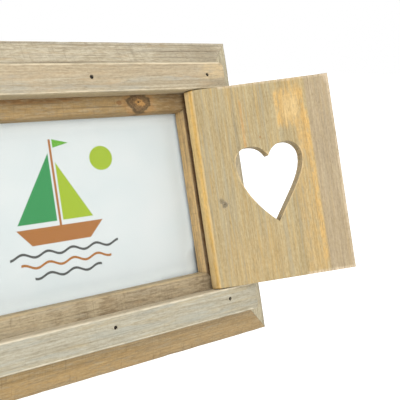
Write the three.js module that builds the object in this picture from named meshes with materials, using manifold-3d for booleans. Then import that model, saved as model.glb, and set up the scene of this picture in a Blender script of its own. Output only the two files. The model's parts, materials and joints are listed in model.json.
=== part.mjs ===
// Shutter photo frame
// A mitred wooden picture frame leans back on a hinged strut. In front of the picture two wooden
// shutters with heart cut-outs turn on pins between a top and a bottom rail.
// Millimetres. +Z is up, +X is to the viewer's right and the front faces -Y. The origin is the middle
// of the lower back edge, where the leaning frame meets the table.

import * as THREE from 'three';
import { mergeVertices } from 'three/addons/utils/BufferGeometryUtils.js';
import Module from 'manifold-3d';

const wasm = await Module();
wasm.setup();

// The print and how much of it the lip covers
const printWidth = 152;
const printHeight = 102;
const printSideCover = 2;
const printEndCover = 5;
const printClearance = 1;

// Layers in the rebate, from the lip to the back
const lipDepth = 9;
const glassThickness = 2;
const cardThickness = 0.5;
const boardThickness = 3;
const boardInset = 0.6;
const paneClearance = 0.5;

// Base moulding: a flat front, a bevel falling to the outer edge, and a rebate behind the lip
const mouldingWidth = 41.5;
const bevelWidth = 17;
const bevelDepth = 10;
const sightEase = 0.8;

// Rails
const railHeight = 15;
const railCornerRadius = 3;
const railEase = 0.6;

// Shutters
const shutterThickness = 9.5;
const shutterBackGap = 0.7;
const shutterFrontInset = 0.5;
const shutterEndGap = 0.4;
const shutterMeetingGap = 0.4;
const shutterEdgeRadius = 0.7;
const shutterEase = 0.4;
const shutterPastPivot = 3.9;
const shutterChamferDepth = 3.75;
const shutterOpenAngle = 154;
const pivotFromOpening = 3.7;

// Heart cut-out, measured from its own middle. It is sawn by hand: a little askew, fuller on the hinge
// side of the tip, and leaning towards the hinge as it goes through the board.
const heartWidth = 37.9;
const heartHeight = 43.4;
const heartDrop = 1.5;
const heartShift = 0.8;
const heartTilt = 1.5;
const heartCutLean = 2.5;
const heartCleftDepth = 6.5;
const heartLobeSpread = 10.7;
const heartWidestFall = 9;
const heartFlankHandle = 10.2;
const heartFreeSideTipHandle = new THREE.Vector2(8.9, 13.7);
const heartHingeSideTipHandle = new THREE.Vector2(-12.3, 11);

// Pivot pins of the shutters
const pivotPinRadius = 1.25;
const pivotPinInRail = 4;
const pivotPinInShutter = 8;

// Nails that hold the rails to the base
const nailHeadRadius = 0.9;
const nailHeadThickness = 0.8;
const nailShankRadius = 0.65;
const nailLength = 18;
const nailSink = 0.9;
const topNailFromEnd = 11.6;
const topMiddleNailShift = 18.2;
const topNailRise = 0.4;
const bottomNailFromEnd = 18.4;
const bottomMiddleNailShift = 11.4;
const bottomNailRise = 1.5;

// Corner wedges driven into the back of the mitres
const wedgeLeg = 7;
const wedgeThickness = 0.6;
const wedgeDepth = 8;
const wedgeFromOuter = 16;

// Turn buttons and their screws
const buttonLength = 22;
const buttonWidth = 8;
const buttonThickness = 0.8;
const buttonSpacing = 56;
const buttonScrewOutset = 7;
const screwShankRadius = 1.2;
const screwLength = 8;
const screwHeadRadius = 2.7;
const screwHeadHeight = 1.3;
const screwSlotWidth = 0.6;
const screwSlotDepth = 0.6;

// Strut and its hinge
const leanAngle = 16;
const strutAngle = 30;
const strutThickness = 3;
const strutTopWidth = 30;
const strutFootWidth = 54;
const strutCornerRadius = 4;
const strutEase = 0.4;
const hingeBelowBoardTop = 21.5;
const leafWidth = 24;
const leafLength = 16;
const leafThickness = 0.8;
const middleKnuckleLength = 11;
const hingePinRadius = 1.1;
const foldClearance = 0.4;
const rivetSpacing = 14;
const rivetFromAxis = 10;
const rivetHeadRadius = 2.2;
const rivetHeadHeight = 0.9;
const rivetShankRadius = 1.1;

// Clearances between pieces
const seatGap = 0.3;
const runningClearance = 0.1;
const mitreGap = 0.25;

// How finely round stretches are drawn
const pinSides = 20;
const curveSteps = 10;
const arcSteps = 5;

// A cutting tool runs this far past the face that it opens
const overshoot = 1;

// Opening, rebate and outer size, worked out from the print
const openingWidth = printWidth - 2 * printSideCover;
const openingHeight = printHeight - 2 * printEndCover;
const rebateWidth = printWidth + 2 * printClearance;
const rebateHeight = printHeight + 2 * printClearance;
const paneWidth = rebateWidth - 2 * paneClearance;
const paneHeight = rebateHeight - 2 * paneClearance;
const outerHeight = openingHeight + 2 * mouldingWidth;
const flatWidth = mouldingWidth - bevelWidth;

// Depths behind the front face of the base
const glassFront = lipDepth + seatGap;
const cardFront = glassFront + glassThickness + seatGap;
const boardFront = cardFront + cardThickness + seatGap;
const boardBack = boardFront + boardThickness;
const mouldingDepth = boardBack + boardInset;

// Rails and shutters, in front of the base
const railThickness = shutterBackGap + shutterThickness + shutterFrontInset;
const railFront = -seatGap - railThickness;
const railLength = openingWidth + 2 * flatWidth;
const railOuter = openingHeight / 2 + flatWidth;
const railMiddle = railOuter - railHeight / 2;
const railInner = railOuter - railHeight;
const halfShutter = shutterThickness / 2;
const pivotX = openingWidth / 2 + pivotFromOpening;
const pivotY = -(shutterBackGap + halfShutter);
const shutterReach = pivotX - shutterMeetingGap / 2;
const shutterHeight = 2 * (railInner - shutterEndGap);

// Strut hinge: the folded strut lies clear of the back by the fold clearance
const barrelRadius = (leafThickness + strutThickness + boardInset + foldClearance) / 2;
const hingeY = boardBack + seatGap + barrelRadius;
const hingeAboveMiddle = paneHeight / 2 - hingeBelowBoardTop;
const strutOuter = barrelRadius - leafThickness - seatGap;
const strutInner = strutOuter - strutThickness;
const leafStart = barrelRadius + seatGap;
const lean = THREE.MathUtils.degToRad(leanAngle);
const strutFromUpright = THREE.MathUtils.degToRad(strutAngle - leanAngle);
const hingeRise = (hingeAboveMiddle + outerHeight / 2) * Math.cos(lean);
const hingeAboveTable = hingeRise - (hingeY - mouldingDepth) * Math.sin(lean);

const quarterTurn = Math.PI / 2;

// Joining and cutting

function toSolid(geometry) {
  const bare = geometry.clone();
  bare.deleteAttribute('normal');
  bare.deleteAttribute('uv');
  const merged = mergeVertices(bare);
  const vertProperties = new Float32Array(merged.attributes.position.array);
  const triVerts = new Uint32Array(merged.index.array);
  return new wasm.Manifold(new wasm.Mesh({ numProp: 3, vertProperties, triVerts }));
}

function toGeometry(solid) {
  const mesh = solid.getMesh();
  const geometry = new THREE.BufferGeometry();
  geometry.setAttribute('position', new THREE.BufferAttribute(mesh.vertProperties, 3));
  geometry.setIndex(new THREE.BufferAttribute(mesh.triVerts, 1));
  return geometry;
}

function cut(geometry, tools) {
  const solid = tools.reduce((rest, tool) => rest.subtract(toSolid(tool)), toSolid(geometry));
  return toGeometry(solid);
}

function join(geometries) {
  const [first, ...others] = geometries.map(toSolid);
  return toGeometry(others.reduce((whole, other) => whole.add(other), first));
}

// Basic shapes

// A block between two corners
function block(low, high) {
  const size = high.map((value, axis) => value - low[axis]);
  const middle = high.map((value, axis) => (value + low[axis]) / 2);
  return new THREE.BoxGeometry(...size).translate(...middle);
}

// A rod along X, Y or Z between two places on that axis
function rod(axis, radius, from, to) {
  const geometry = new THREE.CylinderGeometry(radius, radius, to - from, pinSides);
  if (axis === 'x') geometry.rotateZ(quarterTurn);
  if (axis === 'z') geometry.rotateX(quarterTurn);
  const middle = new THREE.Vector3();
  middle[axis] = (from + to) / 2;
  return geometry.translate(middle.x, middle.y, middle.z);
}

// A turned piece along Y; each point of its profile is a radius and a place on the axis
function turned(profile) {
  const points = profile.map(([radius, along]) => new THREE.Vector2(radius, along));
  return new THREE.LatheGeometry(points, pinSides);
}

function roundedRectangle(width, height, radius) {
  const x = width / 2;
  const y = height / 2;
  const shape = new THREE.Shape();
  shape.moveTo(-x + radius, -y);
  shape.lineTo(x - radius, -y);
  shape.absarc(x - radius, -y + radius, radius, -quarterTurn, 0, false);
  shape.lineTo(x, y - radius);
  shape.absarc(x - radius, y - radius, radius, 0, quarterTurn, false);
  shape.lineTo(-x + radius, y);
  shape.absarc(-x + radius, y - radius, radius, quarterTurn, 2 * quarterTurn, false);
  shape.lineTo(-x, -y + radius);
  shape.absarc(-x + radius, -y + radius, radius, 2 * quarterTurn, 3 * quarterTurn, false);
  return shape;
}

// A shape drawn in X and Y, raised along Z from 0 to its height, with eased rims
function raised(shape, height, ease) {
  const geometry = new THREE.ExtrudeGeometry(shape, {
    depth: height - 2 * ease,
    bevelEnabled: ease > 0,
    bevelThickness: ease,
    bevelSize: ease,
    bevelOffset: -ease,
    bevelSegments: 2,
    curveSegments: arcSteps,
    steps: 1,
  });
  return geometry.translate(0, 0, ease);
}

// A shape drawn in X and Z, raised along Y from one depth to another
function upright(shape, from, to, ease) {
  return raised(shape, to - from, ease).rotateX(quarterTurn).translate(0, to, 0);
}

// Base members

// The moulding's section: distance out from the sight edge, and depth behind the front face
function mouldingShape(lipWidth) {
  const shape = new THREE.Shape();
  shape.moveTo(sightEase, 0);
  shape.lineTo(flatWidth, 0);
  shape.lineTo(mouldingWidth, bevelDepth);
  shape.lineTo(mouldingWidth, mouldingDepth);
  shape.lineTo(lipWidth, mouldingDepth);
  shape.lineTo(lipWidth, lipDepth);
  shape.lineTo(0, lipDepth);
  shape.lineTo(0, sightEase);
  shape.closePath();
  return shape;
}

// A member above an opening, its ends mitred: each point runs out as far as it lies from the sight edge
function mouldingMember(lipWidth, halfAcross, halfAlong) {
  const geometry = new THREE.ExtrudeGeometry(mouldingShape(lipWidth), { depth: 1, bevelEnabled: false });
  const position = geometry.attributes.position;
  const endInset = mitreGap / Math.SQRT2;
  for (let i = 0; i < position.count; i += 1) {
    const out = position.getX(i);
    const side = position.getZ(i) > 0 ? -1 : 1;
    position.setXYZ(i, side * (halfAlong + out - endInset), position.getY(i), halfAcross + out);
  }
  return geometry;
}

// Corner wedge in the back of the top right mitre, with one leg in each member
function cornerWedge(clearance) {
  const half = wedgeThickness / 2 + clearance;
  const leg = wedgeLeg + clearance;
  const shape = new THREE.Shape();
  shape.moveTo(half, half);
  shape.lineTo(-leg, half);
  shape.lineTo(-leg, -half);
  shape.lineTo(-half, -half);
  shape.lineTo(-half, -leg);
  shape.lineTo(half, -leg);
  shape.closePath();
  const apex = mouldingWidth - wedgeFromOuter;
  const back = clearance > 0 ? mouldingDepth + overshoot : mouldingDepth;
  const geometry = upright(shape, mouldingDepth - wedgeDepth - clearance, back, 0);
  return geometry.translate(openingWidth / 2 + apex, 0, openingHeight / 2 + apex);
}

// A corner's number of quarter turns from the top right; the opening's width and height swap on odd turns
function atCorner(corner, clearance) {
  const wedge = cornerWedge(clearance);
  const swap = (openingHeight - openingWidth) / 2;
  if (corner % 2 === 1) wedge.translate(swap, 0, -swap);
  return wedge.rotateY(corner * quarterTurn);
}

// Nails

const nailBack = railFront + nailSink + nailLength;

// The nails of one rail, from left to right, each with its place along and up the front
function nailRow(fromEnd, middleShift, level) {
  const end = railLength / 2 - fromEnd;
  return [
    { spot: 'left', x: -end, z: level },
    { spot: 'middle', x: middleShift, z: level },
    { spot: 'right', x: end, z: level },
  ];
}

const topNails = nailRow(topNailFromEnd, topMiddleNailShift, railMiddle + topNailRise);
const bottomNails = nailRow(bottomNailFromEnd, bottomMiddleNailShift, bottomNailRise - railMiddle);

function nail() {
  const neck = nailHeadThickness;
  const pointLength = 2 * nailShankRadius;
  return turned([
    [0, 0],
    [nailHeadRadius, 0],
    [nailHeadRadius, neck],
    [nailShankRadius, neck],
    [nailShankRadius, nailLength - pointLength],
    [0, nailLength],
  ]);
}

function nailHole(radius, from, to) {
  return rod('y', radius + runningClearance, from, to);
}

// Turn buttons and screws

const buttonX = rebateWidth / 2 + buttonScrewOutset;
const buttonFront = mouldingDepth + seatGap;
const screwHeadFront = buttonFront + buttonThickness + seatGap;
const screwPointDepth = mouldingDepth - screwLength;

// The plate points down from its screw hole; each one is turned to reach over the edge of the back board
function turnButton() {
  const shape = roundedRectangle(buttonWidth, buttonLength, buttonWidth / 2);
  const plate = upright(shape, 0, buttonThickness, 0);
  plate.translate(0, 0, buttonWidth / 2 - buttonLength / 2);
  return cut(plate, [rod('y', screwShankRadius + runningClearance, -overshoot, buttonThickness + overshoot)]);
}

// A pan head screw with its point at the front
function screw() {
  const headTop = screwHeadFront + screwHeadHeight;
  const headShoulder = screwHeadFront + screwHeadHeight / 2;
  const headCrown = screwHeadRadius * Math.SQRT1_2;
  const body = turned([
    [0, screwPointDepth],
    [screwShankRadius, screwPointDepth + 2 * screwShankRadius],
    [screwShankRadius, screwHeadFront],
    [screwHeadRadius, screwHeadFront],
    [screwHeadRadius, headShoulder],
    [headCrown, headTop],
    [0, headTop],
  ]);
  const slotHalf = screwSlotWidth / 2;
  const slotReach = screwHeadRadius + overshoot;
  const slotFloor = headTop - screwSlotDepth;
  return cut(body, [block([-slotReach, slotFloor, -slotHalf], [slotReach, headTop + overshoot, slotHalf])]);
}

// Shutters

// The outline runs from the cleft down the free side to the tip, and back up the hinge side
function heartShape() {
  const half = heartWidth / 2;
  const top = heartHeight / 2;
  const tip = -top;
  const cleft = top - heartCleftDepth;
  const widest = top - heartWidestFall;
  const lobe = heartLobeSpread;
  const roundness = 0.56;
  const shoulder = lobe + roundness * (half - lobe);
  const flank = widest + roundness * heartWidestFall;
  const cleftHandle = new THREE.Vector2(lobe / 5, top - heartCleftDepth / 3);
  const freeHandle = heartFreeSideTipHandle;
  const hingeHandle = heartHingeSideTipHandle;
  const shape = new THREE.Shape();
  shape.moveTo(0, cleft);
  shape.bezierCurveTo(cleftHandle.x, cleftHandle.y, lobe / 2, top, lobe, top);
  shape.bezierCurveTo(shoulder, top, half, flank, half, widest);
  shape.bezierCurveTo(half, widest - heartFlankHandle, freeHandle.x, tip + freeHandle.y, 0, tip);
  shape.bezierCurveTo(hingeHandle.x, tip + hingeHandle.y, -half, widest - heartFlankHandle, -half, widest);
  shape.bezierCurveTo(-half, flank, -shoulder, top, -lobe, top);
  shape.bezierCurveTo(-lobe / 2, top, -cleftHandle.x, cleftHandle.y, 0, cleft);
  return shape;
}

// The shutter's section seen from above: eased at the free edge, and chamfered past the pivot so that it
// turns clear of the base
function shutterSection() {
  const turn = shutterEdgeRadius;
  const edge = shutterReach - turn;
  const chamferEnd = halfShutter - shutterChamferDepth;
  const shape = new THREE.Shape();
  shape.moveTo(0, -halfShutter);
  shape.lineTo(edge, -halfShutter);
  shape.absarc(edge, -halfShutter + turn, turn, -quarterTurn, 0, false);
  shape.lineTo(shutterReach, halfShutter - turn);
  shape.absarc(edge, halfShutter - turn, turn, 0, quarterTurn, false);
  shape.lineTo(0, halfShutter);
  shape.lineTo(-shutterPastPivot, chamferEnd);
  shape.lineTo(-shutterPastPivot, -chamferEnd);
  shape.closePath();
  return shape;
}

// A shutter about its pivot, reaching out along +X
function shutter() {
  const body = raised(shutterSection(), shutterHeight, shutterEase).translate(0, 0, -shutterHeight / 2);
  const reach = halfShutter + overshoot;
  const heart = new THREE.ExtrudeGeometry(heartShape(), {
    depth: 2 * reach,
    bevelEnabled: false,
    curveSegments: curveSteps,
  });
  const cutLean = Math.tan(THREE.MathUtils.degToRad(heartCutLean));
  heart.rotateZ(THREE.MathUtils.degToRad(heartTilt)).rotateX(quarterTurn);
  heart.translate(0, reach + halfShutter, 0);
  heart.applyMatrix4(new THREE.Matrix4().makeShear(0, 0, -cutLean, 0, 0, 0));
  heart.translate((shutterReach - shutterPastPivot) / 2 + heartShift, -halfShutter, -heartDrop);
  const holeFloor = shutterHeight / 2 - pivotPinInShutter - seatGap;
  const holeTop = shutterHeight / 2 + overshoot;
  const upperHole = rod('z', pivotPinRadius + runningClearance, holeFloor, holeTop);
  const lowerHole = rod('z', pivotPinRadius + runningClearance, -holeTop, -holeFloor);
  return cut(body, [heart, upperHole, lowerHole]);
}

// A pivot pin above the shutter's middle
function pivotPin() {
  return rod('z', pivotPinRadius, shutterHeight / 2 - pivotPinInShutter, railInner + pivotPinInRail);
}

// Rails

// A rail above (1) or below (-1) the shutters, with its nail holes and the pivot pins' blind holes
function rail(up, nails) {
  const shape = roundedRectangle(railLength, railHeight, railCornerRadius);
  const bar = upright(shape, railFront, railFront + railThickness, railEase);
  bar.translate(0, 0, up * railMiddle);
  const nailHoles = nails.map(({ x, z }) => {
    return nailHole(nailHeadRadius, railFront - overshoot, overshoot).translate(x, 0, z);
  });
  const pinHoles = [-pivotX, pivotX].map((x) => {
    const holeStart = railInner - overshoot;
    const holeLength = overshoot + pivotPinInRail + seatGap;
    const hole = rod('z', pivotPinRadius + runningClearance, -holeLength / 2, holeLength / 2);
    return hole.translate(x, pivotY, up * (holeStart + holeLength / 2));
  });
  return cut(bar, [...nailHoles, ...pinHoles]);
}

// Strut and hinge, about the hinge axis, with the strut hanging straight down

function strut() {
  const top = -leafStart;
  const longest = (hingeAboveTable + strutOuter * Math.sin(strutFromUpright)) / Math.cos(strutFromUpright);
  const r = strutCornerRadius;
  const halfTop = strutTopWidth / 2;
  const halfFoot = strutFootWidth / 2;
  const bottom = -longest - overshoot;
  const shape = new THREE.Shape();
  shape.moveTo(-halfFoot, bottom);
  shape.lineTo(halfFoot, bottom);
  shape.lineTo(halfTop, top - r);
  shape.absarc(halfTop - r, top - r, r, 0, quarterTurn, false);
  shape.lineTo(-halfTop + r, top);
  shape.absarc(-halfTop + r, top - r, r, quarterTurn, 2 * quarterTurn, false);
  shape.closePath();
  const leg = upright(shape, strutInner, strutOuter, strutEase);
  // The table, seen from the strut, trims the foot
  const span = strutFootWidth;
  const table = block([-span, -span, -span], [span, span, 0]);
  table.translate(0, 0, -hingeAboveTable).rotateX(-strutFromUpright);
  return cut(leg, [table, ...rivetHoles(-rivetFromAxis, strutInner - overshoot, strutOuter + overshoot)]);
}

function rivetHoles(z, from, to) {
  return [-rivetSpacing / 2, rivetSpacing / 2].map((x) => {
    return rod('y', rivetShankRadius + runningClearance, from, to).translate(x, 0, z);
  });
}

// A leaf hangs from its knuckles; each knuckle is a start and an end along the axis
function hingeLeaf(knuckles) {
  const outer = barrelRadius;
  const inner = barrelRadius - leafThickness;
  const plate = block([-leafWidth / 2, inner, -leafLength], [leafWidth / 2, outer, -leafStart]);
  const tabs = knuckles.flatMap(([from, to]) => [
    rod('x', barrelRadius, from, to),
    block([from, inner, -leafStart - overshoot], [to, outer, 0]),
  ]);
  const pinHole = rod('x', hingePinRadius + runningClearance, -leafWidth, leafWidth);
  const holes = rivetHoles(-rivetFromAxis, inner - overshoot, outer + overshoot);
  return cut(join([plate, ...tabs]), [pinHole, ...holes]);
}

const middleKnuckle = [[-middleKnuckleLength / 2, middleKnuckleLength / 2]];
const outerKnuckles = [
  [-leafWidth / 2, -middleKnuckleLength / 2 - seatGap],
  [middleKnuckleLength / 2 + seatGap, leafWidth / 2],
];

// A rivet along Y whose head rests on a leaf, with its tail this far below the leaf's outer face
function rivet(tail) {
  const crown = seatGap + rivetHeadHeight;
  return turned([
    [0, -tail],
    [rivetShankRadius, -tail],
    [rivetShankRadius, seatGap],
    [rivetHeadRadius, seatGap],
    [rivetHeadRadius * Math.SQRT1_2, crown - rivetHeadHeight / 4],
    [0, crown],
  ]);
}

// Finishes

function finish(color, roughness, metalness) {
  return { color, roughness, metalness };
}

const paleWood = finish(0xb9ab8d, 0.8, 0);
const brownWood = finish(0xa98f66, 0.8, 0);
const tanWood = finish(0xc9ae82, 0.75, 0);
const fibreboard = finish(0x8a6642, 0.85, 0);
const whiteCard = finish(0xdfe5e4, 0.9, 0);
const zincSteel = finish(0xb4b6b8, 0.35, 1);
const darkSteel = finish(0x5d5a55, 0.5, 1);

function place(group, name, geometry, look) {
  const material = new THREE.MeshStandardMaterial(look);
  const mesh = new THREE.Mesh(geometry, material);
  mesh.name = name;
  group.add(mesh);
  return mesh;
}

// Assembly: the frame leans back about its lower back edge

const shutterFrame = new THREE.Group();
shutterFrame.rotation.x = -lean;
const body = new THREE.Group();
body.position.set(0, -mouldingDepth, outerHeight / 2);
shutterFrame.add(body);

const cornerNames = ['top_right', 'bottom_right', 'bottom_left', 'top_left'];
const wedgeSlots = cornerNames.map((name, corner) => atCorner(corner, runningClearance));
cornerNames.forEach((name, corner) => {
  place(body, `corner_wedge_${name}`, atCorner(corner, 0), zincSteel);
});

const endLip = (rebateHeight - openingHeight) / 2;
const sideLip = (rebateWidth - openingWidth) / 2;
const sides = [
  { name: 'right', across: 1, turns: 1, slots: [0, 1] },
  { name: 'left', across: -1, turns: 3, slots: [2, 3] },
];
const buttonLevels = [
  { level: 'top', z: buttonSpacing / 2 },
  { level: 'bottom', z: -buttonSpacing / 2 },
];
for (const { name, across, turns, slots } of sides) {
  const member = mouldingMember(sideLip, openingWidth / 2, openingHeight / 2).rotateY(turns * quarterTurn);
  const slotTools = slots.map((slot) => wedgeSlots[slot]);
  const screwHoles = buttonLevels.map(({ z }) => {
    const holeFloor = screwPointDepth - seatGap;
    const hole = rod('y', screwShankRadius + runningClearance, holeFloor, mouldingDepth + overshoot);
    return hole.translate(across * buttonX, 0, z);
  });
  place(body, `base_${name}_member`, cut(member, [...slotTools, ...screwHoles]), brownWood);

  for (const { level, z } of buttonLevels) {
    const button = place(body, `turn_button_${level}_${name}`, turnButton(), zincSteel);
    button.position.set(across * buttonX, buttonFront, z);
    button.rotation.y = turns * quarterTurn;
    const fixing = place(body, `turn_button_screw_${level}_${name}`, screw(), zincSteel);
    fixing.position.set(across * buttonX, 0, z);
  }
}

const ends = [
  { name: 'top', up: 1, turns: 0, slots: [3, 0], nails: topNails },
  { name: 'bottom', up: -1, turns: 2, slots: [1, 2], nails: bottomNails },
];
for (const { name, up, turns, slots, nails } of ends) {
  const member = mouldingMember(endLip, openingHeight / 2, openingWidth / 2).rotateY(turns * quarterTurn);
  const nailHoles = nails.map(({ x, z }) => {
    return nailHole(nailShankRadius, -overshoot, nailBack + seatGap).translate(x, 0, z);
  });
  const slotTools = slots.map((slot) => wedgeSlots[slot]);
  place(body, `base_${name}_member`, cut(member, [...slotTools, ...nailHoles]), brownWood);

  place(body, `${name}_rail`, rail(up, nails), paleWood);
  for (const { spot, x, z } of nails) {
    const pin = place(body, `${name}_rail_nail_${spot}`, nail(), darkSteel);
    pin.position.set(x, railFront + nailSink, z);
  }
}

// A flat sheet centred behind the opening
function sheet(width, height, front, thickness) {
  return block([-width / 2, front, -height / 2], [width / 2, front + thickness, height / 2]);
}

place(body, 'glass_pane', sheet(paneWidth, paneHeight, glassFront, glassThickness), {
  color: 0xe8f0ee,
  roughness: 0.05,
  metalness: 0,
  transparent: true,
  opacity: 0.35,
});
place(body, 'insert_card', sheet(printWidth, printHeight, cardFront, cardThickness), whiteCard);
const board = sheet(paneWidth, paneHeight, boardFront, boardThickness);
const boardRivetZ = hingeAboveMiddle + rivetFromAxis;
const boardHoles = rivetHoles(boardRivetZ, boardFront - overshoot, boardBack + overshoot);
place(body, 'back_board', cut(board, boardHoles), fibreboard);

// Each shutter turns about its pins; the left one is the right one turned round
const leaves = [
  { side: 'right', x: pivotX, shut: 2 * quarterTurn, swing: 1 },
  { side: 'left', x: -pivotX, shut: 0, swing: -1 },
];
for (const { side, x, shut, swing } of leaves) {
  const leaf = new THREE.Group();
  leaf.position.set(x, pivotY, 0);
  leaf.rotation.z = shut + swing * THREE.MathUtils.degToRad(shutterOpenAngle);
  body.add(leaf);
  place(leaf, `${side}_shutter`, shutter(), tanWood);
  place(leaf, `${side}_shutter_upper_pin`, pivotPin(), darkSteel);
  place(leaf, `${side}_shutter_lower_pin`, pivotPin().rotateX(2 * quarterTurn), darkSteel);
}

// The fixed leaf is the moving one turned over, on the back board above the axis
const hinge = new THREE.Group();
hinge.position.set(0, hingeY, hingeAboveMiddle);
body.add(hinge);
place(hinge, 'strut_hinge_fixed_leaf', hingeLeaf(outerKnuckles).rotateX(2 * quarterTurn), zincSteel);
place(hinge, 'strut_hinge_pin', rod('x', hingePinRadius, -leafWidth / 2, leafWidth / 2), zincSteel);
const fixedLeafOuter = leafThickness - barrelRadius;
const boardTail = leafThickness + boardThickness;
const rivetSides = [
  { side: 'left', x: -rivetSpacing / 2 },
  { side: 'right', x: rivetSpacing / 2 },
];
for (const { side, x } of rivetSides) {
  const fixing = place(hinge, `fixed_leaf_rivet_${side}`, rivet(boardTail), zincSteel);
  fixing.position.set(x, fixedLeafOuter, rivetFromAxis);
}

const leg = new THREE.Group();
leg.rotation.x = THREE.MathUtils.degToRad(strutAngle);
hinge.add(leg);
place(leg, 'strut', strut(), fibreboard);
place(leg, 'strut_hinge_moving_leaf', hingeLeaf(middleKnuckle), zincSteel);
const strutTail = leafThickness + strutThickness;
for (const { side, x } of rivetSides) {
  const fixing = place(leg, `moving_leaf_rivet_${side}`, rivet(strutTail), zincSteel);
  fixing.position.set(x, barrelRadius, -rivetFromAxis);
}

export default shutterFrame;
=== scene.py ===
# Looks of the shutter photo frame: worn, stained pine around a printed card behind glass, with zinc
# fittings and brown fibreboard at the back. Objects are in metres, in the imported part's own frame, and
# marks on their surfaces in mm.

import json
import math
from dataclasses import dataclass, field, replace

import bmesh
import bpy
from mathutils import Matrix, Vector, noise
from mathutils.kdtree import KDTree

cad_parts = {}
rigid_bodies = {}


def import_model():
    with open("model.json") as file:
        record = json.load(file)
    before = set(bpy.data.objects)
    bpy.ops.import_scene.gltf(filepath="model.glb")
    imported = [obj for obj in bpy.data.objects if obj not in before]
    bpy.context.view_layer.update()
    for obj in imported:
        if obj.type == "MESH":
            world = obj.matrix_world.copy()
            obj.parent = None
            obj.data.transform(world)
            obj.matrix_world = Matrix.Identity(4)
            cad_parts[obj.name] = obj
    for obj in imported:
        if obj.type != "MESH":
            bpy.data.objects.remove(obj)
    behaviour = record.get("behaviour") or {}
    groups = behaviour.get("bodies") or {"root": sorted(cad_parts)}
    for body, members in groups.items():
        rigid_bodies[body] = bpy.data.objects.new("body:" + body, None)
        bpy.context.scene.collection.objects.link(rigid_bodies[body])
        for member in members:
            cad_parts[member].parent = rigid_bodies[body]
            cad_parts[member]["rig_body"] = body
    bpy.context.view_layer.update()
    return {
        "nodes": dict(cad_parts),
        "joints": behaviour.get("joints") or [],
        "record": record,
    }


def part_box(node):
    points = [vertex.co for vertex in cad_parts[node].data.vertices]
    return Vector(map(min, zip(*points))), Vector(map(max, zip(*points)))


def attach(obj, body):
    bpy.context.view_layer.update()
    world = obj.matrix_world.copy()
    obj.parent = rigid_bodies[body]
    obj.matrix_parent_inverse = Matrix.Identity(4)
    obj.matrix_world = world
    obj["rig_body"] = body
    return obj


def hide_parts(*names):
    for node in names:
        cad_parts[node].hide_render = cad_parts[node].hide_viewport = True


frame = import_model()

MM = 0.001

# The studio light shows a front face this many times brighter than its own colour
STUDIO_GAIN = 1.78

# Axes of the leaning frame, taken from the pivot of its right shutter
swings = {joint["child"]: joint for joint in frame["joints"]}
right = Vector((1, 0, 0))
up = Vector(swings["right_shutter"]["axis"]).normalized()
back = up.cross(right)
pane_low, pane_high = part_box("glass_pane")
picture_middle = (pane_low + pane_high) / 2


def linear(red, green, blue):
    """A screen colour from 0 to 255 as a linear colour."""
    shares = [value / 255 for value in (red, green, blue)]
    return [share / 12.92 if share <= 0.04045 else ((share + 0.055) / 1.055) ** 2.4 for share in shares]


def paint(red, green, blue):
    """The shader colour of a face that should show this screen colour under the studio light."""
    return (*(value / STUDIO_GAIN for value in linear(red, green, blue)), 1.0)


def grey(value):
    return (value, value, value, 1.0)


WHITE = grey(1.0)


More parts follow.
